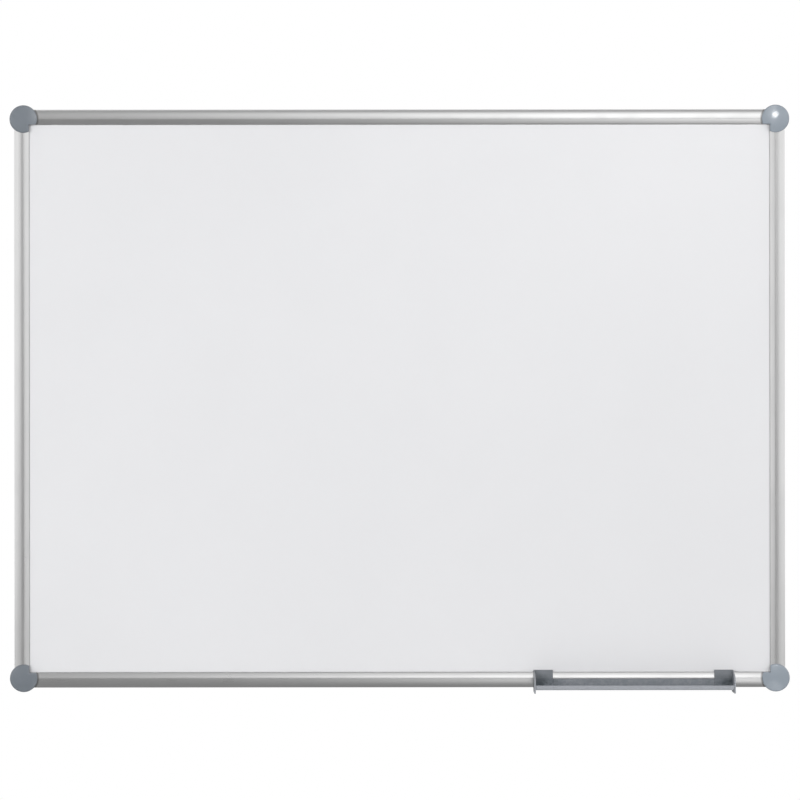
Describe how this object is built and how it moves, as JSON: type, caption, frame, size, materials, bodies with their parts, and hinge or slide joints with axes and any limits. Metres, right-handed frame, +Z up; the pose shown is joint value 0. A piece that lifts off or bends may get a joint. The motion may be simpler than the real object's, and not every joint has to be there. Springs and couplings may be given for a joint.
{
  "type": "magnetic whiteboard",
  "caption": "Wall-hung magnetic whiteboard in a rounded aluminium frame, with round plastic corner joints, pull-off caps over the wall screws and a clip-on sliding pen tray.",
  "frame": {"origin": "middle of the board on the wall plane: half way along the width and the height over the rails, at the back faces of the rails", "axes": "+X to the right seen from the front, +Y into the wall, +Z up; the writing surface faces -Y"},
  "size_m": [1.2124, 0.0599, 0.9129],
  "materials": {
    "white_lacquered_steel": "gloss",
    "paper_honeycomb": "matte",
    "galvanised_steel": "satin",
    "anodised_aluminium": "satin",
    "zinc_plated_steel": "satin",
    "blue_grey_plastic": "satin",
    "blue_grey_cap_plastic": "satin",
    "slate_grey_tray_plastic": "satin"
  },
  "bodies": {
    "board": {"writing_sheet": "white_lacquered_steel", "core_board": "paper_honeycomb", "backing_sheet": "galvanised_steel", "rail_bottom": "anodised_aluminium", "rail_right": "anodised_aluminium", "rail_top": "anodised_aluminium", "rail_left": "anodised_aluminium", "rail_screw_bottom_left": "zinc_plated_steel", "rail_screw_bottom_right": "zinc_plated_steel", "rail_screw_right_bottom": "zinc_plated_steel", "rail_screw_right_top": "zinc_plated_steel", "rail_screw_top_right": "zinc_plated_steel", "rail_screw_top_left": "zinc_plated_steel", "rail_screw_left_top": "zinc_plated_steel", "rail_screw_left_bottom": "zinc_plated_steel", "corner_body_bottom_left": "blue_grey_plastic", "corner_body_bottom_right": "blue_grey_plastic", "corner_body_top_right": "blue_grey_plastic", "corner_body_top_left": "blue_grey_plastic"},
    "tray": {"tray_trough": "slate_grey_tray_plastic", "tray_end_left": "slate_grey_tray_plastic", "tray_end_right": "slate_grey_tray_plastic"},
    "cap_bottom_left": {"corner_cap_bottom_left": "blue_grey_cap_plastic"},
    "cap_bottom_right": {"corner_cap_bottom_right": "blue_grey_cap_plastic"},
    "cap_top_right": {"corner_cap_top_right": "blue_grey_cap_plastic"},
    "cap_top_left": {"corner_cap_top_left": "blue_grey_cap_plastic"}
  },
  "joints": [
    {"name": "tray_slide", "type": "slide", "parent": "board", "child": "tray", "axis": [1, 0, 0], "range_m": [-0.7709, 0.0439]},
    {"name": "cap_pull_bottom_left", "type": "slide", "parent": "board", "child": "cap_bottom_left", "axis": [0, -1, 0], "range_m": [0, 0.007]},
    {"name": "cap_pull_bottom_right", "type": "slide", "parent": "board", "child": "cap_bottom_right", "axis": [0, -1, 0], "range_m": [0, 0.007]},
    {"name": "cap_pull_top_right", "type": "slide", "parent": "board", "child": "cap_top_right", "axis": [0, -1, 0], "range_m": [0, 0.007]},
    {"name": "cap_pull_top_left", "type": "slide", "parent": "board", "child": "cap_top_left", "axis": [0, -1, 0], "range_m": [0, 0.007]}
  ]
}
